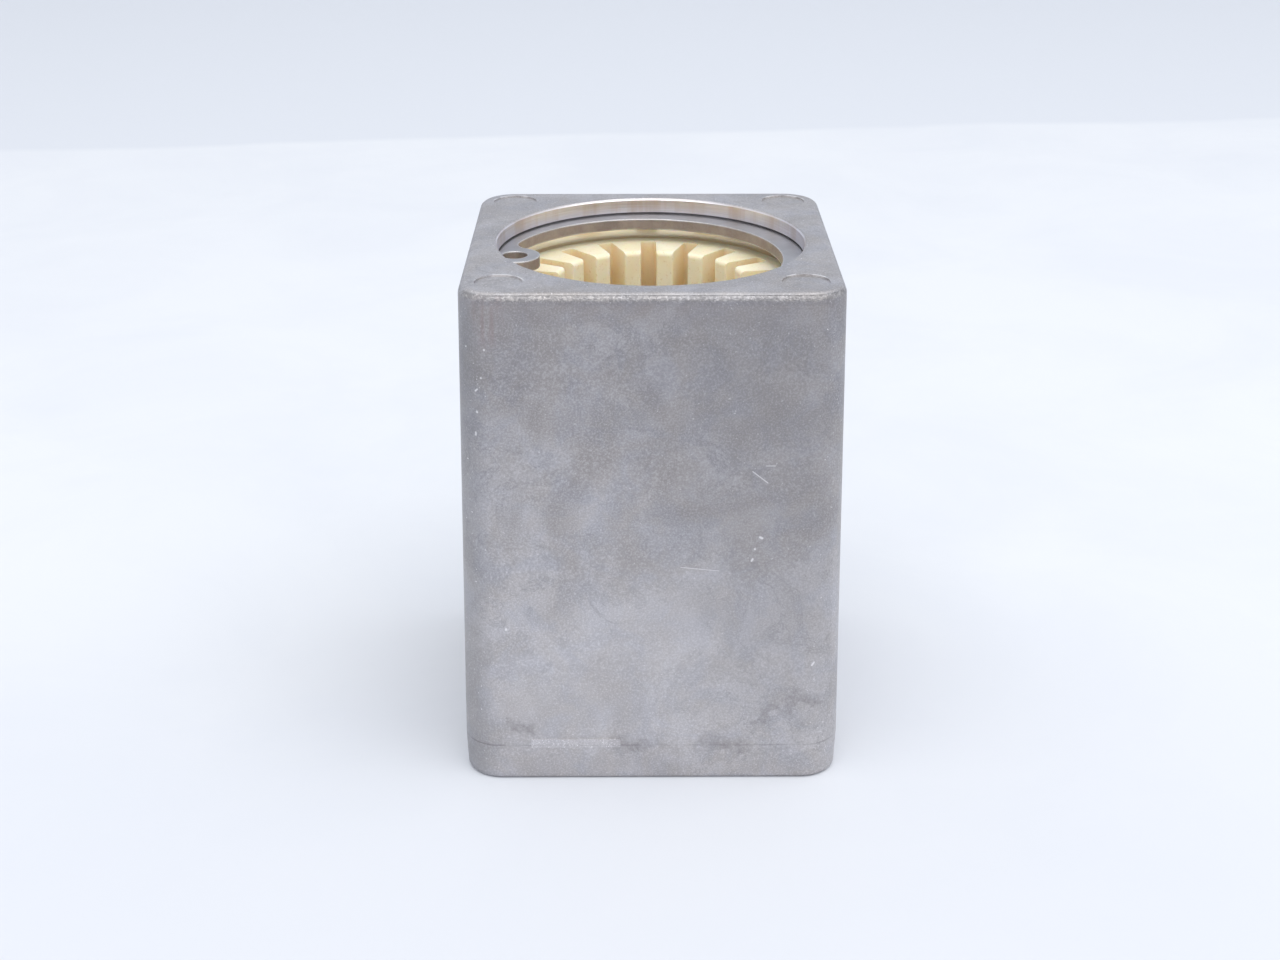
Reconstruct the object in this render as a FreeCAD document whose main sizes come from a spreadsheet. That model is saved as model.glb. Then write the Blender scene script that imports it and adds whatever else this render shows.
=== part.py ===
import FreeCAD, Part
import os
from math import atan2, degrees, radians

import Sketcher

# Linear bearing block: a square aluminium die casting with a through bore, a slotted polymer
# bearing sleeve seated in the bore, and a retaining ring in a groove at each end of the bore.
#
# Frame: millimetres, +Z along the bore, origin on the bore's axis in the plane of the lower end
# face, which the block stands on. -Y is the front with the gate witness, +Y the milled
# mounting face.

Vector = FreeCAD.Vector
Constraint = Sketcher.Constraint

DRIVING_SIZES = {
    # The casting. The mould opens along Z and parts a little above the lower end.
    "block_width": 39.4,  # across X at the parting line
    "block_depth": 39.4,  # across Y at the parting line, before the back is milled
    "block_height": 53.3,
    "parting_height": 4.15,
    "upper_draft": 1.04,  # degrees a side above the parting line
    "lower_draft": 1.8,  # degrees a side below it
    "corner_round": 3.8,
    "top_edge_round": 0.9,
    "bottom_edge_round": 0.5,
    # What is left on the casting by its mould
    "gate_width": 9.3,
    "gate_tall": 1.0,
    "gate_centre_x": -7.95,
    "gate_proud": 0.06,
    "ejector_diameter": 4.7,
    "ejector_pitch": 29.8,
    "ejector_depth": 0.15,
    # What is machined into it
    "bore_diameter": 32.0,
    "bore_edge_break": 0.2,
    "groove_diameter": 33.7,
    "groove_width": 1.4,
    "groove_setback": 1.55,  # from each end face to the groove's nearer wall
    "machining_allowance": 1.1,  # milled off the casting's back
    "screw_hole_diameter": 4.2,  # tapping size of M5
    "screw_hole_depth": 6.8,
    "screw_hole_mouth": 5.2,
    "screw_pitch_x": 28.0,
    "screw_pitch_z": 34.0,
    # The polymer sleeve
    "sleeve_upper_setback": 4.4,  # from the upper end face down to the sleeve
    "sleeve_lower_setback": 3.9,
    "sleeve_clearance": 0.02,  # radial, in the housing's bore
    "sleeve_outer_chamfer": 0.5,
    "shaft_diameter": 20.0,  # across the lands
    "land_end_round": 0.5,
    "land_side_round": 0.25,
    "slot_count": 18,
    "slot_width": 1.7,
    "slot_floor_diameter": 28.4,
    "slot_floor_round": 0.35,
    "slot_turn": 0.5,  # degrees that the first slot stands off +Y
    # The retaining rings
    "ring_thickness": 1.2,
    "ring_clearance": 0.03,  # radial, to the floor of the groove
    "ring_inner_diameter": 28.7,
    "ring_inner_offset": 0.8,  # of the inner circle towards the gap
    "lug_circle_radius": 14.18,  # from the ring's axis to the plier holes
    "lug_radius": 2.6,
    "lug_hole_diameter": 2.7,
    "lug_spread": 84.0,  # degrees between the plier holes
    "lug_root_round": 2.0,
    "ring_end_round": 0.4,
    "upper_ring_turn": -48.0,  # degrees; the gap looks along -Y at 0
    "lower_ring_turn": 135.0,
}

# Derived sizes, as expressions on the sheet
BACK = "(Sizes.block_depth / 2 - Sizes.machining_allowance)"
SLEEVE_LENGTH = "(Sizes.block_height - Sizes.sleeve_upper_setback - Sizes.sleeve_lower_setback)"
RING_OUTER_DIAMETER = "(Sizes.groove_diameter - 2 * Sizes.ring_clearance)"
RING_LUG_ROOT = (
    f"(({RING_OUTER_DIAMETER} + Sizes.ring_inner_diameter) / 4 + Sizes.ring_inner_offset / 2)"
)

XY, XZ, YZ = "XY_Plane", "XZ_Plane", "YZ_Plane"
START, END, CENTRE = range(1, 4)  # how a constraint names the points of a line or arc
X_AXIS, Y_AXIS = range(-1, -3, -1)  # how it names the sketch's own axes
ORIGIN = (X_AXIS, START)
NEAR = 1e-4

doc = FreeCAD.newDocument("linear_bearing_block")
sizes = doc.addObject("Spreadsheet::Sheet", "Sizes")
for row, (alias, value) in enumerate(DRIVING_SIZES.items(), start=1):
    sizes.set(f"A{row}", alias)
    sizes.set(f"B{row}", str(value))
    sizes.setAlias(f"B{row}", alias)
doc.recompute()


def size(alias):
    """A driving size as it stands on the sheet."""
    return float(sizes.get(alias))


def measured(obj, expression):
    """The value of an expression on the sheet, in millimetres or as a plain number."""
    value = obj.evalExpression(expression)
    return float(getattr(value, "Value", value))


def new_body(label):
    body = doc.addObject("PartDesign::Body", label)
    body.Label = label
    return body


def origin_part(body, role):
    return next(part for part in body.Origin.OriginFeatures if part.Role == role)


def new_sketch(body, name, plane, offset=None):
    """A sketch on one of the body's own origin planes, moved along its normal by an expression."""
    sketch = body.newObject("Sketcher::SketchObject", name)
    sketch.AttachmentSupport = (origin_part(body, plane), [""])
    sketch.MapMode = "FlatFace"
    if offset:
        sketch.setExpression("AttachmentOffset.Base.z", offset)
    return sketch


def drive(sketch, name, constraint, expression):
    """Add a named dimension to a sketch and bind it to the sheet."""
    sketch.renameConstraint(sketch.addConstraint(constraint), name)
    sketch.setExpression(f"Constraints.{name}", expression)


def line(x1, y1, x2, y2):
    return Part.LineSegment(Vector(x1, y1, 0), Vector(x2, y2, 0))


def circle(x, y, radius):
    return Part.Circle(Vector(x, y, 0), Vector(0, 0, 1), radius)


def arc(x, y, radius, start_deg, end_deg):
    return Part.ArcOfCircle(circle(x, y, radius), radians(start_deg), radians(end_deg))


def rectangle(sketch, x_low, x_high, y_low, y_high):
    """A rectangle whose sides stand at four expressions, each counted from the sketch's origin."""
    places = {
        "x_low": (x_low, "DistanceX"),
        "x_high": (x_high, "DistanceX"),
        "y_low": (y_low, "DistanceY"),
        "y_high": (y_high, "DistanceY"),
    }
    at = {name: measured(sketch, place) for name, (place, _) in places.items()}
    first = sketch.addGeometry([
        line(at["x_low"], at["y_low"], at["x_high"], at["y_low"]),
        line(at["x_high"], at["y_low"], at["x_high"], at["y_high"]),
        line(at["x_high"], at["y_high"], at["x_low"], at["y_high"]),
        line(at["x_low"], at["y_high"], at["x_low"], at["y_low"]),
    ])[0]
    for side in range(4):
        following = first + (side + 1) % 4
        sketch.addConstraint(Constraint("Coincident", first + side, END, following, START))
        straight = "Vertical" if side % 2 else "Horizontal"
        sketch.addConstraint(Constraint(straight, first + side))
    corner = {"x_low": first, "y_low": first, "x_high": first + 2, "y_high": first + 2}
    for name, (place, kind) in places.items():
        to_corner = Constraint(kind, *ORIGIN, corner[name], START, at[name])
        drive(sketch, f"{name}_{first}", to_corner, place)


def four_circles(sketch, diameter, pitch_x, pitch_y):
    """Equal circles at the corners of a rectangle about the sketch's origin."""
    across = measured(sketch, diameter)
    x, y = measured(sketch, pitch_x) / 2, measured(sketch, pitch_y) / 2
    for sign_x, sign_y in ((1, 1), (-1, 1), (-1, -1), (1, -1)):
        sketch.addGeometry(circle(sign_x * x, sign_y * y, across / 2))
    sketch.addConstraint(Constraint("Symmetric", 0, CENTRE, 1, CENTRE, Y_AXIS))
    sketch.addConstraint(Constraint("Symmetric", 0, CENTRE, 3, CENTRE, X_AXIS))
    sketch.addConstraint(Constraint("Symmetric", 0, CENTRE, 2, CENTRE, *ORIGIN))
    for other in (1, 2, 3):
        sketch.addConstraint(Constraint("Equal", 0, other))
    drive(sketch, "pitch_x", Constraint("DistanceX", 1, CENTRE, 0, CENTRE, 2 * x), pitch_x)
    drive(sketch, "pitch_y", Constraint("DistanceY", 3, CENTRE, 0, CENTRE, 2 * y), pitch_y)
    drive(sketch, "diameter", Constraint("Diameter", 0, across), diameter)


def centred_circle(sketch, diameter):
    index = sketch.addGeometry(circle(0, 0, measured(sketch, diameter) / 2))
    sketch.addConstraint(Constraint("Coincident", index, CENTRE, *ORIGIN))
    to_size = Constraint("Diameter", index, measured(sketch, diameter))
    drive(sketch, f"diameter_{index}", to_size, diameter)
    return index


def feature(body, kind, name, profile=None, **settings):
    """A PartDesign feature with its plain settings; a setting that is text is an expression."""
    made = body.newObject(f"PartDesign::{kind}", name)
    if profile:
        made.Profile = profile
    for key, setting in settings.items():
        if isinstance(setting, str) and "Sizes." in setting:
            made.setExpression(key, setting)
        else:
            setattr(made, key, setting)
    doc.recompute()
    if "Invalid" in made.State or "Error" in made.State or not made.Shape.isValid():
        raise RuntimeError(f"{name} is not sound")
    return made


def cut(body, kind, name, profile, **settings):
    """A feature that takes material away; one that points away from the solid is an error."""
    before = body.Shape.Volume
    made = feature(body, kind, name, profile, **settings)
    if not body.Shape.Volume < before - NEAR:
        raise RuntimeError(f"{name} cuts nothing")
    return made


def edges_where(shape, wanted):
    """The names of the edges that a test picks out, in the body's own frame."""
    names = [f"Edge{n}" for n, edge in enumerate(shape.Edges, start=1) if wanted(edge)]
    if not names:
        raise RuntimeError("no edge fits the test")
    return names


def level_at(z):
    """A test for edges that lie flat at one height."""
    return lambda edge: all(abs(point.z - z) < NEAR for point in edge.discretize(3))


def rising(edge):
    """A test for the edges that run from one level to another."""
    start, end = (edge.valueAt(at) for at in edge.ParameterRange)
    return abs(end.z - start.z) > NEAR


def upright(edge):
    start, end = (edge.valueAt(at) for at in edge.ParameterRange)
    across = Vector(end.x - start.x, end.y - start.y, 0)
    return across.Length < NEAR and abs(end.z - start.z) > NEAR


def dress(body, kind, name, edges, **settings):
    """A fillet or chamfer on the named edges of the body as it stands."""
    base = body.Tip
    return feature(body, kind, name, Base=(base, edges), **settings)


def make_housing():
    """The casting with its draft and edge rounds, then the machining, in the order it is made."""
    body = new_body("housing")
    top = size("block_height")

    parting = new_sketch(body, "parting_outline", XY, "Sizes.parting_height")
    rectangle(
        parting,
        "-Sizes.block_width / 2",
        "Sizes.block_width / 2",
        "-Sizes.block_depth / 2",
        "Sizes.block_depth / 2",
    )
    feature(
        body, "Pad", "cast_form", parting, SideType="Two sides",
        Length="Sizes.block_height - Sizes.parting_height", TaperAngle="-Sizes.upper_draft",
        Length2="Sizes.parting_height", TaperAngle2="-Sizes.lower_draft",
    )
    corners = edges_where(body.Tip.Shape, rising)
    dress(body, "Fillet", "corners", corners, Radius="Sizes.corner_round")
    upper_edges = edges_where(body.Tip.Shape, level_at(top))
    dress(body, "Fillet", "top_edge", upper_edges, Radius="Sizes.top_edge_round")
    lower_edges = edges_where(body.Tip.Shape, level_at(0))
    dress(body, "Fillet", "bottom_edge", lower_edges, Radius="Sizes.bottom_edge_round")

    # The gate witness: the broken-off gate's low pad, which sits across the parting line
    gate = new_sketch(body, "gate_outline", XZ, "Sizes.block_depth / 2 - Sizes.corner_round / 4")
    rectangle(
        gate,
        "Sizes.gate_centre_x - Sizes.gate_width / 2",
        "Sizes.gate_centre_x + Sizes.gate_width / 2",
        "Sizes.parting_height - Sizes.gate_tall / 4",
        "Sizes.parting_height + Sizes.gate_tall * 3 / 4",
    )
    feature(
        body, "Pad", "gate_witness", gate, Length="Sizes.corner_round / 4 + Sizes.gate_proud"
    )

    ejectors = new_sketch(body, "ejector_marks_outline", XY, "Sizes.block_height")
    four_circles(ejectors, "Sizes.ejector_diameter", "Sizes.ejector_pitch", "Sizes.ejector_pitch")
    cut(body, "Pocket", "ejector_marks", ejectors, Length="Sizes.ejector_depth")

    # The back, milled flat and true to the bore
    back = new_sketch(body, "mounting_face_outline", XZ, f"-{BACK}")
    rectangle(
        back,
        "-Sizes.block_width",
        "Sizes.block_width",
        "-Sizes.block_height / 2",
        "Sizes.block_height * 3 / 2",
    )
    cut(body, "Pocket", "mounting_face", back, Type="ThroughAll")

    bore = new_sketch(body, "bore_outline", XY)
    centred_circle(bore, "Sizes.bore_diameter")
    cut(body, "Pocket", "bore", bore, Type="ThroughAll", Reversed=True)
    bore_radius = size("bore_diameter") / 2
    bore_mouths = edges_where(
        body.Tip.Shape,
        lambda edge: edge.Curve.TypeId == "Part::GeomCircle"
        and abs(edge.Curve.Radius - bore_radius) < NEAR
        and (level_at(0)(edge) or level_at(top)(edge)),
    )
    dress(body, "Chamfer", "bore_edges", bore_mouths, Size="Sizes.bore_edge_break")

    grooves = new_sketch(body, "ring_grooves_outline", XZ)
    for low, high in (
        ("Sizes.groove_setback", "Sizes.groove_setback + Sizes.groove_width"),
        (
            "Sizes.block_height - Sizes.groove_setback - Sizes.groove_width",
            "Sizes.block_height - Sizes.groove_setback",
        ),
    ):
        rectangle(
            grooves,
            "Sizes.bore_diameter / 2 - Sizes.groove_width / 2",
            "Sizes.groove_diameter / 2",
            low,
            high,
        )
    cut(
        body, "Groove", "ring_grooves", grooves,
        ReferenceAxis=(origin_part(body, "Z_Axis"), [""]), Angle=360.0,
    )

    screws = new_sketch(body, "screw_holes_outline", XZ, f"-{BACK}")
    screws.setExpression("AttachmentOffset.Base.y", "Sizes.block_height / 2")
    four_circles(screws, "Sizes.screw_hole_diameter", "Sizes.screw_pitch_x", "Sizes.screw_pitch_z")
    doc.recompute()
    cut(
        body, "Hole", "screw_holes", screws,
        Threaded=False, DepthType="Dimension", Depth="Sizes.screw_hole_depth",
        Diameter="Sizes.screw_hole_diameter", DrillPoint="Angled", DrillPointAngle=118.0,
        HoleCutType="Countersink", HoleCutDiameter="Sizes.screw_hole_mouth",
        HoleCutCountersinkAngle=90.0, Reversed=True,
    )
    return body


def make_sleeve():
    """The moulded sleeve: a turned profile, then one slot and its copies round the axis."""
    body = new_body("bearing_sleeve")
    body.setExpression("Placement.Base.z", "Sizes.sleeve_lower_setback")
    body.setExpression("Placement.Rotation.Angle", "Sizes.slot_turn * 1 deg")

    section = new_sketch(body, "sleeve_section", XZ)
    rectangle(
        section,
        "Sizes.shaft_diameter / 2",
        "Sizes.bore_diameter / 2 - Sizes.sleeve_clearance",
        "0 * Sizes.sleeve_lower_setback",
        SLEEVE_LENGTH,
    )
    feature(
        body, "Revolution", "sleeve_form", section,
        ReferenceAxis=(origin_part(body, "Z_Axis"), [""]), Angle=360.0,
    )
    land_radius = size("shaft_diameter") / 2

    def is_land_end(edge):
        return edge.Curve.TypeId == "Part::GeomCircle" and edge.Curve.Radius < land_radius + NEAR

    inner = edges_where(body.Tip.Shape, is_land_end)
    dress(body, "Fillet", "land_ends", inner, Radius="Sizes.land_end_round")
    outer_radius = size("bore_diameter") / 2 - size("sleeve_clearance")
    outer = edges_where(
        body.Tip.Shape,
        lambda edge: edge.Curve.TypeId == "Part::GeomCircle"
        and abs(edge.Curve.Radius - outer_radius) < NEAR,
    )
    dress(body, "Chamfer", "lead_in", outer, Size="Sizes.sleeve_outer_chamfer")

    slot = new_sketch(body, "slot_outline", XY)
    draw_slot(slot)
    one_slot = cut(body, "Pocket", "slot", slot, Type="ThroughAll", Reversed=True)
    pattern = body.newObject("PartDesign::PolarPattern", "slots")
    pattern.Originals = [one_slot]
    pattern.Axis = (origin_part(body, "Z_Axis"), [""])
    pattern.Angle = 360.0
    pattern.setExpression("Occurrences", "Sizes.slot_count")
    body.Tip = pattern
    doc.recompute()
    return body


def draw_slot(sketch):
    """One slot's outline: parallel walls, a rounded floor, and a mouth rounded into the lands."""
    half = size("slot_width") / 2
    floor = size("slot_floor_diameter") / 2
    floor_round = size("slot_floor_round")
    mouth_round = size("land_side_round")
    land = size("shaft_diameter") / 2
    mouth_x = half + mouth_round
    mouth_y = ((land + mouth_round) ** 2 - mouth_x**2) ** 0.5
    share = land / (land + mouth_round)
    lip_x, lip_y = mouth_x * share, mouth_y * share
    lip_angle = degrees(atan2(lip_y, lip_x))
    left, floor_left, bottom, floor_right, right, mouth_right, closing, mouth_left = range(8)
    sketch.addGeometry([
        line(-half, mouth_y, -half, floor - floor_round),
        arc(-half + floor_round, floor - floor_round, floor_round, 90, 180),
        line(-half + floor_round, floor, half - floor_round, floor),
        arc(half - floor_round, floor - floor_round, floor_round, 0, 90),
        line(half, floor - floor_round, half, mouth_y),
        arc(mouth_x, mouth_y, mouth_round, 180, 180 + lip_angle),
        line(lip_x, lip_y, -lip_x, lip_y),
        arc(-mouth_x, mouth_y, mouth_round, 360 - lip_angle, 360),
    ])
    land_circle = sketch.addGeometry(circle(0, 0, land), True)
    sketch.addConstraint(Constraint("Coincident", land_circle, CENTRE, *ORIGIN))
    for first, first_end, second, second_end in (
        (left, END, floor_left, END),
        (floor_left, START, bottom, START),
        (bottom, END, floor_right, END),
        (floor_right, START, right, START),
        (right, END, mouth_right, START),
        (mouth_left, END, left, START),
    ):
        sketch.addConstraint(Constraint("Tangent", first, first_end, second, second_end))
    sketch.addConstraint(Constraint("Coincident", mouth_right, END, closing, START))
    sketch.addConstraint(Constraint("Coincident", closing, END, mouth_left, START))
    for mouth, lip in ((mouth_right, END), (mouth_left, START)):
        sketch.addConstraint(Constraint("Tangent", mouth, lip, land_circle))
    sketch.addConstraint(Constraint("Vertical", left))
    sketch.addConstraint(Constraint("Vertical", right))
    sketch.addConstraint(Constraint("Symmetric", bottom, START, bottom, END, Y_AXIS))
    sketch.addConstraint(Constraint("Equal", floor_left, floor_right))
    sketch.addConstraint(Constraint("Equal", mouth_left, mouth_right))
    across = Constraint("DistanceX", left, START, right, END, 2 * half)
    drive(sketch, "width", across, "Sizes.slot_width")
    to_floor = Constraint("DistanceY", *ORIGIN, bottom, START, floor)
    drive(sketch, "floor", to_floor, "Sizes.slot_floor_diameter / 2")
    drive(sketch, "land", Constraint("Diameter", land_circle, 2 * land), "Sizes.shaft_diameter")
    drive(sketch, "floor_round", Constraint("Radius", floor_left, floor_round), "Sizes.slot_floor_round")
    drive(sketch, "mouth_round", Constraint("Radius", mouth_left, mouth_round), "Sizes.land_side_round")


def make_ring(label, turn, seat):
    """A stamped internal retaining ring, its gap along -Y before it is turned.

    seat is an expression for the height of the groove wall that the ring lies on.
    """
    body = new_body(label)
    body.setExpression("Placement.Base.z", seat)
    body.setExpression("Placement.Rotation.Angle", f"{turn} * 1 deg")

    # A band between two circles, the inner one off centre, so that it thins towards the gap
    band = new_sketch(body, f"{label}_band_outline", XY)
    centred_circle(band, RING_OUTER_DIAMETER)
    inner = band.addGeometry(
        circle(0, -size("ring_inner_offset"), size("ring_inner_diameter") / 2)
    )
    band.addConstraint(Constraint("PointOnObject", inner, CENTRE, Y_AXIS))
    off_centre = Constraint("DistanceY", inner, CENTRE, *ORIGIN, size("ring_inner_offset"))
    drive(band, "offset", off_centre, "Sizes.ring_inner_offset")
    across = Constraint("Diameter", inner, size("ring_inner_diameter"))
    drive(band, "inner", across, "Sizes.ring_inner_diameter")
    feature(body, "Pad", f"{label}_band", band, Length="Sizes.ring_thickness")

    # One lug with its plier hole, then its mirror image across the gap
    lug = new_sketch(body, f"{label}_lug_outline", XY)
    lug.setExpression("AttachmentOffset.Rotation.Angle", "-Sizes.lug_spread / 2 * 1 deg")
    draw_lug(lug)
    lug_pad = feature(body, "Pad", f"{label}_lug", lug, Length="Sizes.ring_thickness")
    hole = new_sketch(body, f"{label}_hole_outline", XY)
    hole.setExpression("AttachmentOffset.Rotation.Angle", "-Sizes.lug_spread / 2 * 1 deg")
    centre_y = size("lug_circle_radius")
    hole.addGeometry(circle(0, -centre_y, size("lug_hole_diameter") / 2))
    hole.addConstraint(Constraint("PointOnObject", 0, CENTRE, Y_AXIS))
    to_hole = Constraint("DistanceY", 0, CENTRE, *ORIGIN, centre_y)
    drive(hole, "reach", to_hole, "Sizes.lug_circle_radius")
    across = Constraint("Diameter", 0, size("lug_hole_diameter"))
    drive(hole, "diameter", across, "Sizes.lug_hole_diameter")
    hole_cut = cut(body, "Pocket", f"{label}_hole", hole, Type="ThroughAll", Reversed=True)
    mirrored = body.newObject("PartDesign::Mirrored", f"{label}_second_lug")
    mirrored.Originals = [lug_pad, hole_cut]
    mirrored.MirrorPlane = (origin_part(body, YZ), [""])
    body.Tip = mirrored
    doc.recompute()

    gap = new_sketch(body, f"{label}_gap_outline", XY)
    draw_gap(gap)
    cut(body, "Pocket", f"{label}_gap", gap, Type="ThroughAll", Reversed=True)
    round_ring(body, label)
    return body


def draw_lug(sketch):
    """A half-round lug on straight sides that run into the band, on the sketch's -Y axis."""
    radius, reach = size("lug_radius"), size("lug_circle_radius")
    root = measured(sketch, RING_LUG_ROOT)
    sketch.addGeometry([
        arc(0, -reach, radius, 0, 180),
        line(-radius, -reach, -radius, -root),
        line(-radius, -root, radius, -root),
        line(radius, -root, radius, -reach),
    ])
    sketch.addConstraint(Constraint("Tangent", 0, END, 1, START))
    sketch.addConstraint(Constraint("Coincident", 1, END, 2, START))
    sketch.addConstraint(Constraint("Coincident", 2, END, 3, START))
    sketch.addConstraint(Constraint("Tangent", 3, END, 0, START))
    sketch.addConstraint(Constraint("Vertical", 1))
    sketch.addConstraint(Constraint("Vertical", 3))
    sketch.addConstraint(Constraint("Horizontal", 2))
    sketch.addConstraint(Constraint("PointOnObject", 0, CENTRE, Y_AXIS))
    drive(sketch, "radius", Constraint("Radius", 0, radius), "Sizes.lug_radius")
    to_centre = Constraint("DistanceY", 0, CENTRE, *ORIGIN, reach)
    drive(sketch, "reach", to_centre, "Sizes.lug_circle_radius")
    drive(sketch, "root", Constraint("DistanceY", 2, START, *ORIGIN, root), RING_LUG_ROOT)


def draw_gap(sketch):
    """The gap as a triangle whose slanted sides graze the lugs on the side away from the band."""
    half_spread = "Sizes.lug_spread / 2 * 1 deg"
    apex = f"Sizes.lug_radius / sin({half_spread})"
    base = f"{RING_OUTER_DIAMETER}"
    apex_y, base_y = -measured(sketch, apex), -measured(sketch, base)
    half_base = (apex_y - base_y) * measured(sketch, f"tan({half_spread})")
    sketch.addGeometry([
        line(0, apex_y, -half_base, base_y),
        line(-half_base, base_y, half_base, base_y),
        line(half_base, base_y, 0, apex_y),
    ])
    for side in range(3):
        sketch.addConstraint(Constraint("Coincident", side, END, (side + 1) % 3, START))
    sketch.addConstraint(Constraint("PointOnObject", 0, START, Y_AXIS))
    sketch.addConstraint(Constraint("Symmetric", 1, START, 1, END, Y_AXIS))
    drive(sketch, "apex", Constraint("DistanceY", 0, START, *ORIGIN, -apex_y), apex)
    drive(sketch, "base", Constraint("DistanceY", 1, START, *ORIGIN, -base_y), base)
    wide = Constraint("DistanceX", 1, START, 1, END, 2 * half_base)
    drive(sketch, "width", wide, f"2 * ({base} - {apex}) * tan({half_spread})")


def round_ring(body, label):
    """Round the roots of the lugs and the ring's two ends."""
    inner_centre = Vector(0, -size("ring_inner_offset"), 0)
    inner_radius = size("ring_inner_diameter") / 2
    outer_radius = measured(body, RING_OUTER_DIAMETER) / 2

    def place(edge):
        at = edge.Vertexes[0].Point
        return Vector(at.x, at.y, 0)

    def is_lug_root(edge):
        return upright(edge) and abs((place(edge) - inner_centre).Length - inner_radius) < NEAR

    def is_ring_end(edge):
        return upright(edge) and abs(place(edge).Length - outer_radius) < NEAR

    roots = edges_where(body.Tip.Shape, is_lug_root)
    dress(body, "Fillet", f"{label}_lug_roots", roots, Radius="Sizes.lug_root_round")
    ends = edges_where(body.Tip.Shape, is_ring_end)
    dress(body, "Fillet", f"{label}_ends", ends, Radius="Sizes.ring_end_round")


# Each ring lies on the lower wall of its groove, as gravity leaves it
upper_seat = "Sizes.block_height - Sizes.groove_setback - Sizes.groove_width"
lower_seat = "Sizes.groove_setback"
nodes = [
    make_housing(),
    make_sleeve(),
    make_ring("upper_retaining_ring", "Sizes.upper_ring_turn", upper_seat),
    make_ring("lower_retaining_ring", "Sizes.lower_ring_turn", lower_seat),
]
doc.recompute()

for obj in doc.Objects:
    if {"Invalid", "Error"} & set(obj.State):
        raise RuntimeError(f"{obj.Label} did not compute: {obj.State}")
for body in nodes:
    if body.Shape.isNull() or not body.Shape.isValid() or len(body.Shape.Solids) != 1:
        raise RuntimeError(f"{body.Label} is not one valid solid")

os.makedirs("parts", exist_ok=True)
for body in nodes:
    body.Shape.exportStep(f"parts/{body.Label}.step")
    print(f"{body.Label}: {body.Shape.Volume:.1f} cubic millimetres")
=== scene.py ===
import math

import bpy
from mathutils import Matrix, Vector


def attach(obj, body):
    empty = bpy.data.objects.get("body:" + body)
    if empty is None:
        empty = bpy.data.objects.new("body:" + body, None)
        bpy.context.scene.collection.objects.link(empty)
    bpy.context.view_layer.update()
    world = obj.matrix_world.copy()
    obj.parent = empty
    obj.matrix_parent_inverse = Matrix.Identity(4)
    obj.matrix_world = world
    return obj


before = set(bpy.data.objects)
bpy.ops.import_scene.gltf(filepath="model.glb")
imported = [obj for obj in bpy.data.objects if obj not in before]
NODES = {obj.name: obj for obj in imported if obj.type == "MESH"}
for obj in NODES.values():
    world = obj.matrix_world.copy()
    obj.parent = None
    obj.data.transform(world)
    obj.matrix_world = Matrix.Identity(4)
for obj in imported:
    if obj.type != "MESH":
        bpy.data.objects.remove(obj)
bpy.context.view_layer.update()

MM = 0.001

# Sizes of the block, in millimetres. The shaft's axis is Z, and the lower end face is at 0.
WIDTH = 39.4
TOP = 53.3  # upper end face
BACK = 18.6  # milled face, along +Y
GROOVE_RADIUS = 16.85
SLEEVE_TOP = 48.9
EJECTOR_PLACE, EJECTOR_RADIUS = 14.9, 2.35
GATE_X, GATE_Z = (-12.6, -3.3), (3.9, 4.9)
HOLE_COLUMNS = (("left", -14.0), ("right", 14.0))
HOLE_ROWS = (("lower", 9.65), ("upper", 43.65))
DRILL_RADIUS = 2.1


# ---------------------------------------------------------------- node helpers


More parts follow.
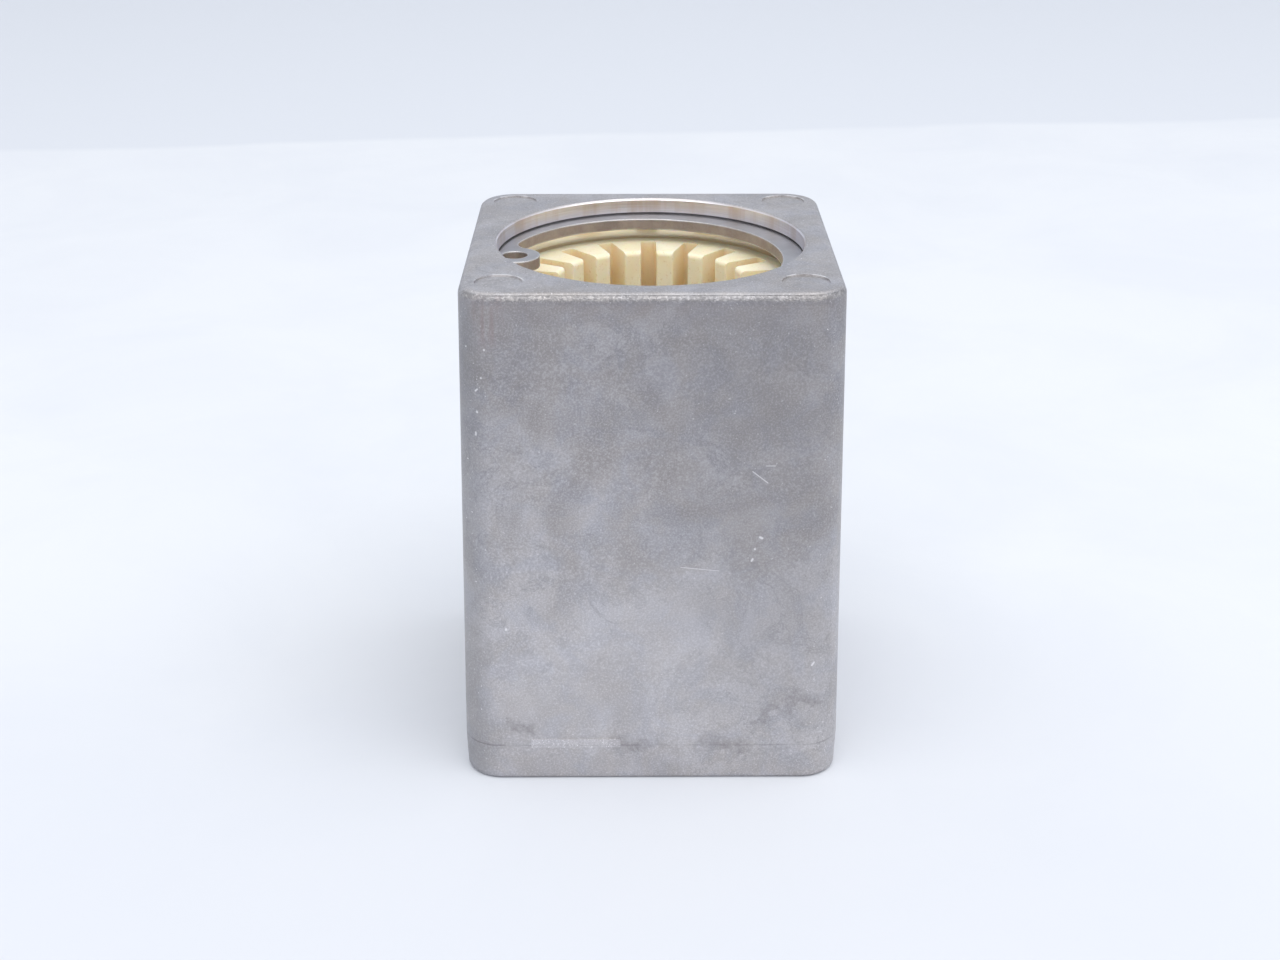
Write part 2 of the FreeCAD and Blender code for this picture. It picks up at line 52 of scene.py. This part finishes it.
class Nodes:
    """A material's node tree with short calls: each makes its nodes and returns one output.

    Positions are in metres, so noise scales are per metre. rise, fall, band and streak take
    their lengths in millimetres, and range takes its limits as they are.
    """

    def __init__(self, name):
        self.material = bpy.data.materials.new(name)
        self.material.use_nodes = True
        self.tree = self.material.node_tree
        self.tree.nodes.clear()
        self.shader = self.tree.nodes.new("ShaderNodeBsdfPrincipled")
        out = self.tree.nodes.new("ShaderNodeOutputMaterial")
        self.tree.links.new(self.shader.outputs["BSDF"], out.inputs["Surface"])

    def put(self, socket, value):
        if isinstance(value, bpy.types.NodeSocket):
            self.tree.links.new(value, socket)
        elif value is not None:
            socket.default_value = value

    def node(self, kind, output=0, **inputs):
        made = self.tree.nodes.new(kind)
        for key, value in inputs.items():
            self.put(made.inputs[key], value)
        return made.outputs[output]

    def position(self):
        return self.node("ShaderNodeTexCoord", "Object")

    def axes(self, vector):
        split = self.tree.nodes.new("ShaderNodeSeparateXYZ")
        self.put(split.inputs[0], vector)
        return split.outputs

    def vector(self, x, y, z):
        made = self.tree.nodes.new("ShaderNodeCombineXYZ")
        for socket, value in zip(made.inputs, (x, y, z)):
            self.put(socket, value)
        return made.outputs[0]

    def math(self, operation, *values):
        made = self.tree.nodes.new("ShaderNodeMath")
        made.operation = operation
        for socket, value in zip(made.inputs, values):
            self.put(socket, value)
        return made.outputs[0]

    def plus(self, a, b):
        return self.math("ADD", a, b)

    def minus(self, a, b):
        return self.math("SUBTRACT", a, b)

    def times(self, first, *others):
        for other in others:
            first = self.math("MULTIPLY", first, other)
        return first

    def strongest(self, first, *others):
        for other in others:
            first = self.math("MAXIMUM", first, other)
        return first

    def distance(self, a, b):
        squares = self.plus(self.math("POWER", a, 2.0), self.math("POWER", b, 2.0))
        return self.math("SQRT", squares)

    def agreement(self, a, b):
        """Cosine of the angle between two unit vectors."""
        made = self.tree.nodes.new("ShaderNodeVectorMath")
        made.operation = "DOT_PRODUCT"
        self.put(made.inputs[0], a)
        self.put(made.inputs[1], b)
        return made.outputs["Value"]

    def noise(self, vector, scale, detail=2.0, roughness=0.5, distortion=0.0):
        return self.node(
            "ShaderNodeTexNoise", "Fac",
            Vector=vector, Scale=scale, Detail=detail, Roughness=roughness, Distortion=distortion,
        )

    def range(self, value, low, high, to_low=0.0, to_high=1.0, kind="LINEAR"):
        made = self.tree.nodes.new("ShaderNodeMapRange")
        made.interpolation_type = kind
        made.clamp = True
        for socket, item in zip(made.inputs, (value, low, high, to_low, to_high)):
            self.put(socket, item)
        return made.outputs[0]

    def choose(self, factor, a, b):
        """The number a where factor is 0 and b where it is 1."""
        return self.range(factor, 0.0, 1.0, a, b)

    def rise(self, value, start, end, top=1.0):
        return self.range(value, start * MM, end * MM, 0.0, top)

    def fall(self, value, start, end, top=1.0):
        return self.range(value, start * MM, end * MM, top, 0.0)

    def band(self, value, low, high, soft):
        """1 from low to high, fading to 0 over soft on both sides."""
        return self.times(self.rise(value, low - soft, low), self.fall(value, high, high + soft))

    def streak(self, u, v, start, end, half, soft):
        """1 within half of the line from start to end, fading to 0 over soft."""
        du, dv = end[0] - start[0], end[1] - start[1]
        length = math.hypot(du, dv)
        du, dv = (du / length, dv / length) if length else (1.0, 0.0)
        pu = self.minus(u, start[0] * MM)
        pv = self.minus(v, start[1] * MM)
        along = self.plus(self.times(pu, du), self.times(pv, dv))
        across = self.minus(self.times(pv, du), self.times(pu, dv))
        inside = self.math("MINIMUM", self.math("MAXIMUM", along, 0.0), length * MM)
        away = self.distance(across, self.minus(along, inside))
        return self.range(away, half * MM, (half + soft) * MM, 1.0, 0.0, "SMOOTHSTEP")

    def marks(self, u, v, lines, soft):
        return self.strongest(*[self.streak(u, v, *line, soft) for line in lines])

    def mix(self, factor, a, b, blend="MIX"):
        made = self.tree.nodes.new("ShaderNodeMix")
        made.data_type = "RGBA"
        made.blend_type = blend
        made.clamp_result = False
        self.put(made.inputs[0], factor)
        self.put(made.inputs[6], a)
        self.put(made.inputs[7], b)
        return made.outputs[2]

    def bump(self, height, depth, strength, normal=None):
        made = self.tree.nodes.new("ShaderNodeBump")
        self.put(made.inputs["Height"], height)
        made.inputs["Distance"].default_value = depth * MM
        made.inputs["Strength"].default_value = strength
        self.put(made.inputs["Normal"], normal)
        return made.outputs[0]

    def rounded(self, radius):
        """Shading normal of edges broken to a radius in millimetres."""
        made = self.tree.nodes.new("ShaderNodeBevel")
        made.samples = 4
        made.inputs["Radius"].default_value = radius * MM
        return made.outputs[0]

    def finish(self, **inputs):
        for key, value in inputs.items():
            self.put(self.shader.inputs[key.replace("_", " ")], value)
        return self.material


def rgb(red, green, blue):
    """A colour given as it looks on a screen, from 0 to 255."""
    def linear(value):
        value /= 255
        return value / 12.92 if value <= 0.04045 else ((value + 0.055) / 1.055) ** 2.4

    return (linear(red), linear(green), linear(blue), 1.0)


# ---------------------------------------------------------------- cast aluminium

# Marks of use on the front: each from one (x, z) to another, with half its width
SCRATCHES = [
    ((9.9, 35.1), (11.4, 33.9), 0.03), ((11.2, 35.7), (12.1, 35.7), 0.02),
    ((2.9, 24.7), (6.7, 24.3), 0.01),
]
DENTS = [
    ((10.8, 28.0), (11.0, 27.9), 0.06), ((10.3, 26.7), (10.3, 26.7), 0.05),
    ((10.0, 25.4), (10.1, 25.6), 0.04), ((-16.2, 47.7), (-16.2, 47.7), 0.04),
    ((-16.6, 44.8), (-16.6, 44.8), 0.03), ((-17.1, 41.2), (-17.1, 41.3), 0.02),
    ((-17.3, 38.8), (-17.3, 39.1), 0.01), ((-17.2, 43.4), (-17.0, 43.6), 0.01),
    ((16.5, 13.5), (16.7, 13.8), 0.04), ((-14.9, 17.7), (-14.9, 17.8), 0.04),
]
SMUDGES = [
    ((5.8, 4.8), (9.0, 4.0), 0.4), ((10.9, 7.0), (12.6, 8.6), 0.12),
    ((13.9, 8.2), (15.2, 10.0), 0.15), ((15.4, 10.1), (17.6, 9.2), 0.08),
    ((-3.2, 4.1), (-0.8, 4.2), 0.35), ((-14.6, 6.6), (-12.4, 6.0), 0.15),
]
SHADED_RIGHT_FRONT = ((10.0, 47.0), (12.0, 18.0), 1.0)
LIT_LOWER_MIDDLE = ((-9.0, 9.0), (1.0, 16.0), 1.0)


def cast_aluminium():
    """The housing: a tumbled die-cast skin, with the machined bore and back told by place."""
    n = Nodes("cast_aluminium")
    at = n.position()
    x, y, z = n.axes(at)
    side = n.math("ABSOLUTE", x)
    front = n.rise(y, -17.9, -18.4)

    # Cast skin: broad clouds, warmer and cooler patches, fine grain
    cloud = n.noise(at, 190.0, detail=7.0, roughness=0.66, distortion=0.9)
    patch = n.noise(at, 75.0, detail=7.0, roughness=0.6, distortion=1.6)
    hue = n.noise(at, 260.0, detail=5.0, roughness=0.6, distortion=0.6)
    grain = n.noise(at, 5200.0, detail=3.0, roughness=0.7)
    tone = n.mix(n.range(cloud, 0.36, 0.64), rgb(174, 172, 174), rgb(194, 192, 195))
    for factor, colour in [
        (n.range(hue, 0.42, 0.62, 0.0, 0.55), rgb(192, 186, 182)),
        (n.range(hue, 0.48, 0.34, 0.0, 0.5), rgb(178, 178, 185)),
        (n.range(patch, 0.36, 0.5, 0.4, 0.0), rgb(162, 157, 156)),
        (n.range(patch, 0.52, 0.62, 0.0, 0.36), rgb(206, 204, 207)),
        (n.range(grain, 0.5, 0.78, 0.0, 0.6), rgb(228, 226, 230)),
        (n.range(grain, 0.55, 0.15, 0.0, 0.5), rgb(138, 134, 136)),
    ]:
        tone = n.mix(factor, tone, colour)

    # Thin outlines where wash water dried
    outline = n.range(n.math("ABSOLUTE", n.minus(cloud, 0.47)), 0.004, 0.014, 0.34, 0.0)
    tone = n.mix(n.times(outline, n.range(patch, 0.46, 0.56)), tone, rgb(140, 138, 142))

    # Painted shade and light on the front: its right is painted in shade, its lower middle
    # painted paler as if lit from the floor, and its left edge painted in shade where the corner
    # round reflects less
    right_shade = n.times(n.streak(x, z, *SHADED_RIGHT_FRONT, 17.0), front, 0.28)
    tone = n.mix(right_shade, tone, rgb(140, 137, 138))
    pale = n.times(n.streak(x, z, *LIT_LOWER_MIDDLE, 14.0), front, 0.2)
    tone = n.mix(pale, tone, rgb(218, 216, 219))
    left = n.times(n.rise(x, -16.2, -18.0, 0.4), n.fall(z, TOP - 1.0, TOP - 0.5))
    tone = n.mix(left, tone, rgb(144, 144, 147))

    # Painted shade: the sides are painted darker upwards, standing in for the dimmer light their
    # upper part reflects
    upper = n.times(n.rise(z, 16.0, 47.0), n.fall(z, TOP - 1.0, TOP - 0.4), 0.43)
    tone = n.mix(upper, tone, rgb(172, 172, 175), "MULTIPLY")

    # Painted glints: bright pinpoints of painted highlight, thickest along the rounded edges
    glint_edges = n.plus(n.rise(side, 15.5, 17.2), n.rise(z, TOP - 1.4, TOP - 0.7))
    glint_speck = n.range(n.noise(at, 3800.0, detail=1.0, roughness=0.6), 0.72, 0.78)
    glint_speck = n.times(glint_speck, n.choose(glint_edges, 0.3, 0.7))
    tone = n.mix(glint_speck, tone, rgb(250, 248, 251))

    # Smudges, broken up by noise
    wander = n.times(n.minus(n.noise(at, 520.0, detail=6.0, roughness=0.7), 0.5), 4.0 * MM)
    smudge = n.marks(n.plus(x, wander), n.minus(z, wander), SMUDGES, 0.9)
    mottle = n.range(n.noise(at, 1500.0, detail=4.0, roughness=0.7), 0.35, 0.65, 0.1, 0.6)
    tone = n.mix(n.times(smudge, front, mottle), tone, rgb(140, 135, 137))

    # Brown upright lines at the upper left, and a broken darker band below the top round
    brown = n.times(n.band(x, -17.6, -14.6, 1.0), n.band(z, 49.6, 52.6, 2.4), front)
    lines = n.noise(n.vector(x, y, n.times(z, 0.12)), 1500.0)
    tone = n.mix(n.times(brown, n.range(lines, 0.45, 0.65, 0.05, 0.5)), tone, rgb(148, 132, 132))
    below = n.times(n.rise(z, 49.8, 52.3), n.range(cloud, 0.3, 0.6, 0.5, 0.15))
    below = n.times(below, n.fall(z, TOP - 0.9, TOP - 0.5))
    tone = n.mix(below, tone, rgb(146, 138, 136))

    # Scratches and small dents
    scratch = n.times(n.marks(x, z, SCRATCHES, 0.05), 0.45)
    dent = n.times(n.marks(x, z, DENTS, 0.12), 0.6)
    tone = n.mix(n.times(n.strongest(scratch, dent), front), tone, rgb(252, 250, 252))

    # The die's parting line all round, and the glinting torn strip where the gate broke off
    parting = n.band(n.plus(z, n.times(wander, 0.03)), 4.08, 4.2, 0.07)
    parting = n.times(parting, n.range(cloud, 0.35, 0.6, 0.5, 0.1))
    tone = n.mix(parting, tone, rgb(126, 122, 124))
    gate = n.times(n.band(x, *GATE_X, 0.02), n.band(z, *GATE_Z, 0.02), front)
    torn = n.noise(at, 7000.0, roughness=0.6)
    torn_tone = n.mix(n.range(torn, 0.45, 0.7), rgb(204, 201, 204), rgb(248, 246, 249))
    tone = n.mix(n.times(gate, 0.4), tone, torn_tone)
    tone = n.mix(n.times(gate, n.range(torn, 0.63, 0.69, 0.0, 0.8)), tone, rgb(254, 252, 254))

    # The top round is rubbed bright, with matt pits left in it
    rim = n.times(n.rise(z, TOP - 1.2, TOP - 0.7), n.fall(z, TOP - 0.3, TOP - 0.18))
    pits = n.noise(at, 2500.0, detail=4.0, roughness=0.75)
    tone = n.mix(n.times(rim, n.range(pits, 0.48, 0.56, 0.65, 0.0)), tone, rgb(132, 130, 132))

    # Painted highlights: bright arcs on the far side of the four ejector marks in the top, where
    # their burrs would catch the light
    mark_x = n.minus(side, EJECTOR_PLACE * MM)
    mark_y = n.minus(n.math("ABSOLUTE", y), EJECTOR_PLACE * MM)
    ring = n.band(n.distance(mark_x, mark_y), EJECTOR_RADIUS + 0.03, EJECTOR_RADIUS + 0.15, 0.08)
    far = n.rise(n.times(mark_y, n.math("SIGN", y)), 0.2, 1.4)
    broken = n.range(n.noise(at, 420.0, detail=3.0, roughness=0.6), 0.44, 0.56, 0.0, 0.9)
    burr_glint = n.times(ring, n.rise(z, TOP - 0.2, TOP - 0.1), far, broken)
    tone = n.mix(burr_glint, tone, rgb(254, 252, 252))

    skin_rough = n.choose(rim, n.range(cloud, 0.3, 0.7, 0.5, 0.42), 0.32)
    relief = n.plus(grain, n.times(n.noise(at, 1100.0, detail=3.0, roughness=0.6), 2.2))
    relief = n.plus(relief, n.times(gate, torn, 2.0))
    relief = n.plus(relief, n.times(n.noise(at, 2900.0, detail=3.0, roughness=0.75), rim, 9.0))

    # Machined bore: turning lines run round it, and brown traces down it. Just above the sleeve
    # it is smoother, and painted near white as painted light, standing in for the sleeve's bright
    # reflection.
    in_bore = n.fall(n.distance(x, y), GROOVE_RADIUS + 0.1, GROOVE_RADIUS + 0.2)
    in_bore = n.times(in_bore, n.rise(z, 0.05, 0.2), n.fall(z, TOP - 0.18, TOP - 0.02))
    above_sleeve = n.times(in_bore, n.band(z, SLEEVE_TOP - 0.2, SLEEVE_TOP + 1.4, 0.1))
    turning = n.noise(n.vector(n.times(x, 0.02), n.times(y, 0.02), z), 9000.0, roughness=0.6)
    traces = n.noise(n.vector(x, y, n.times(z, 0.06)), 330.0, detail=4.0, roughness=0.65)
    bore_tone = n.mix(n.range(turning, 0.3, 0.7), rgb(228, 224, 230), rgb(244, 241, 248))
    bore_tone = n.mix(n.range(traces, 0.52, 0.36, 0.0, 0.6), bore_tone, rgb(214, 198, 190))
    # Painted light: the band just above the sleeve is painted near white
    bore_tone = n.mix(above_sleeve, bore_tone, rgb(254, 250, 244))

    # Milled back: straight feed lines along X
    on_back = n.rise(y, BACK - 0.08, BACK - 0.02)
    feed = n.noise(n.vector(n.times(x, 0.03), y, z), 5200.0, detail=3.0, roughness=0.6)
    back_tone = n.mix(n.range(feed, 0.3, 0.7), rgb(188, 189, 193), rgb(214, 215, 219))

    # Beside the corner rounds the front is shaded flat, as thin facets there shade unevenly
    shading = n.node("ShaderNodeNewGeometry", "Normal")
    facet = n.node("ShaderNodeNewGeometry", "True Normal")
    uneven = n.range(n.agreement(shading, facet), 0.985, 0.997, 1.0, 0.0)
    flat = n.times(uneven, n.fall(side, 16.4, 16.6), front, n.band(z, 0.8, 52.2, 0.05))
    normal = n.mix(flat, shading, facet)

    machined = n.strongest(in_bore, on_back)
    height = n.choose(machined, relief, n.choose(on_back, turning, feed))
    return n.finish(
        Base_Color=n.mix(machined, tone, n.mix(on_back, bore_tone, back_tone)),
        Metallic=0.9,
        Roughness=n.choose(machined, skin_rough, n.choose(above_sleeve, 0.3, 0.2)),
        Normal=n.bump(height, 0.02, 0.8, normal),
    )


# ---------------------------------------------------------------- sleeve and rings


def sleeve_polymer():
    """The sleeve: a pale yellow bearing plastic, with faint flow clouds and filler specks."""
    n = Nodes("sleeve_polymer")
    at = n.position()
    x, y, z = n.axes(at)
    cloud = n.noise(at, 320.0, detail=4.0, roughness=0.55)
    fleck = n.noise(at, 3600.0, detail=1.0)
    tone = n.mix(n.range(cloud, 0.35, 0.65), rgb(250, 236, 200), rgb(253, 243, 216))
    tone = n.mix(n.range(fleck, 0.62, 0.75, 0.0, 0.5), tone, rgb(226, 200, 150))

    # Painted shade and bounced light: the slots are painted warmer and darker towards their
    # floors
    deep = n.times(n.rise(n.distance(x, y), 10.3, 13.6), n.band(z, 4.0, SLEEVE_TOP - 0.4, 0.4))
    tone = n.mix(n.times(deep, 0.6), tone, rgb(254, 224, 180))
    return n.finish(
        Base_Color=tone,
        Roughness=n.range(cloud, 0.3, 0.7, 0.42, 0.55),
        Subsurface_Weight=0.4,
        Subsurface_Radius=(1.0, 0.6, 0.25),
        Subsurface_Scale=1.3 * MM,
        Normal=n.bump(n.noise(at, 2800.0), 0.012, 0.7),
    )


def ring_steel():
    """Spring steel: ground grey faces, and the brown, torn edge that stamping leaves."""
    n = Nodes("ring_steel")
    at = n.position()
    cloud = n.noise(at, 480.0, detail=5.0, roughness=0.6)
    fine = n.noise(at, 5200.0, roughness=0.6)
    patchy = n.range(cloud, 0.35, 0.65)
    face = n.mix(patchy, rgb(168, 168, 171), rgb(184, 184, 187))
    edge = n.mix(patchy, rgb(154, 143, 142), rgb(180, 168, 166))
    broken = n.rounded(0.25)
    flat = n.range(n.math("ABSOLUTE", n.axes(broken)[2]), 0.15, 0.45)
    tone = n.mix(flat, edge, face)
    tone = n.mix(n.range(fine, 0.3, 0.7, 0.0, 0.3), tone, rgb(186, 184, 184))
    # Painted highlight: where the rounded edge normal turns away from the face, the colour is
    # painted near white
    agree = n.agreement(broken, n.node("ShaderNodeNewGeometry", "True Normal"))
    tone = n.mix(n.range(agree, 0.99, 0.9, 0.0, 0.8), tone, rgb(246, 246, 248))
    return n.finish(
        Base_Color=tone,
        Metallic=0.9,
        Roughness=n.choose(flat, 0.5, 0.36),
        Normal=n.bump(n.plus(fine, cloud), 0.01, 0.7, broken),
    )


ALUMINIUM, POLYMER, STEEL = cast_aluminium(), sleeve_polymer(), ring_steel()
MATERIALS = {
    "housing": ALUMINIUM,
    "bearing_sleeve": POLYMER,
    "upper_retaining_ring": STEEL,
    "lower_retaining_ring": STEEL,
}
for node_name, material in MATERIALS.items():
    NODES[node_name].data.materials[0] = material


# ---------------------------------------------------------------- screw threads


def thread(name, x, z):
    """The screw thread in a tapped hole: a helical ridge standing in from the drilled wall."""
    crest, pitch, mouth, end, steps = 1.82, 0.8, 18.05, 12.6, 40  # steps are to a turn
    root_half, crest_half = 0.38, 0.08  # of the pitch
    profile = [
        (DRILL_RADIUS, -root_half), (crest, -crest_half), (crest, crest_half),
        (DRILL_RADIUS, root_half),
    ]
    count = round((mouth - end) / pitch * steps)
    points, faces = [], []
    for i in range(count + 1):
        turn = 2 * math.pi * i / steps
        fade = min(1.0, 4 * i / steps, 4 * (count - i) / steps)  # over a quarter turn
        for radius, along in profile:
            reach = DRILL_RADIUS + (radius - DRILL_RADIUS) * fade
            y = mouth - pitch * i / steps + along * pitch
            across, up = reach * math.cos(turn), reach * math.sin(turn)
            points.append(((x + across) * MM, y * MM, (z + up) * MM))
    for i in range(count):
        for k in range(len(profile) - 1):
            a = len(profile) * i + k
            b = a + len(profile)
            faces.append((a, b, b + 1, a + 1))
    mesh = bpy.data.meshes.new(name)
    mesh.from_pydata(points, [], faces)
    mesh.materials.append(ALUMINIUM)
    obj = bpy.data.objects.new(name, mesh)
    bpy.context.scene.collection.objects.link(obj)
    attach(obj, "root")


for column, hole_x in HOLE_COLUMNS:
    for row, hole_z in HOLE_ROWS:
        thread(f"thread_{row}_{column}", hole_x, hole_z)


# ---------------------------------------------------------------- floor, light, camera


def floor_material():
    n = Nodes("pale_floor")
    at = n.position()
    x, y, _ = n.axes(at)
    # Painted light: the floor is painted paler from just in front of the block backwards, lifting
    # the shade round its base
    tone = n.mix(n.rise(y, -70.0, 30.0), rgb(218, 221, 229), rgb(227, 230, 236))
    cloth = n.noise(at, 22.0, detail=6.0, roughness=0.6, distortion=0.5)
    tone = n.mix(n.range(cloth, 0.35, 0.6, 0.4, 0.0), tone, rgb(217, 221, 230))

    # The cloth ends in a slightly slanting, wavy edge, and the ground behind it is duller
    slant = n.minus(y, n.times(x, 0.1))
    edge = n.plus(slant, n.times(n.noise(at, 9.0, detail=3.0), 24.0 * MM))
    tone = n.mix(n.rise(edge, 289.0, 294.0), tone, rgb(218, 222, 230))
    return n.finish(Base_Color=tone, Roughness=0.9)


def floor():
    """A level floor that turns up into a wall behind the block."""
    reach, front, back, rise, turn = 1.6, -1.6, 1.0, 1.2, 0.35  # metres
    rows = [(front, 0.0), (back - turn, 0.0)]
    for degrees in range(6, 91, 6):
        angle = math.radians(degrees)
        rows.append((back - turn + turn * math.sin(angle), turn - turn * math.cos(angle)))
    rows.append((back, rise))
    points = [(x, y, z) for y, z in rows for x in (-reach, reach)]
    faces = [(2 * i, 2 * i + 1, 2 * i + 3, 2 * i + 2) for i in range(len(rows) - 1)]
    mesh = bpy.data.meshes.new("floor")
    mesh.from_pydata(points, [], faces)
    mesh.polygons.foreach_set("use_smooth", [True] * len(faces))
    mesh.materials.append(floor_material())
    obj = bpy.data.objects.new("floor", mesh)
    bpy.context.scene.collection.objects.link(obj)


def overhead_lamp():
    """One wide lamp above and a little in front."""
    lamp = bpy.data.lights.new("overhead", "AREA")
    lamp.shape = "RECTANGLE"
    lamp.size, lamp.size_y = 1.1, 0.8
    lamp.energy = 4.5
    obj = bpy.data.objects.new("overhead", lamp)
    obj.location = (0.12, -0.3, 0.85)
    aim = Vector((0, 0, 0.03)) - obj.location
    obj.rotation_euler = aim.to_track_quat("-Z", "Y").to_euler()
    bpy.context.scene.collection.objects.link(obj)


def studio():
    """An even, faintly cool white room."""
    world = bpy.data.worlds.new("studio")
    world.use_nodes = True
    room = world.node_tree.nodes["Background"]
    room.inputs["Color"].default_value = (0.97, 0.985, 1.0, 1.0)
    room.inputs["Strength"].default_value = 0.92
    bpy.context.scene.world = world


def camera():
    """Its place is given in widths of the block."""
    data = bpy.data.cameras.new("camera")
    data.sensor_width = 36.0
    data.lens = 52.03
    data.clip_start, data.clip_end = 0.01, 10.0
    obj = bpy.data.objects.new("camera", data)
    obj.location = [widths * WIDTH * MM for widths in (-0.0553, -4.7339, 2.7215)]
    obj.rotation_euler = (math.radians(66.4376), 0.0, math.radians(-0.3272))
    bpy.context.scene.collection.objects.link(obj)
    bpy.context.scene.camera = obj


floor()
studio()
overhead_lamp()
camera()

bpy.context.scene.view_settings.view_transform = "Standard"
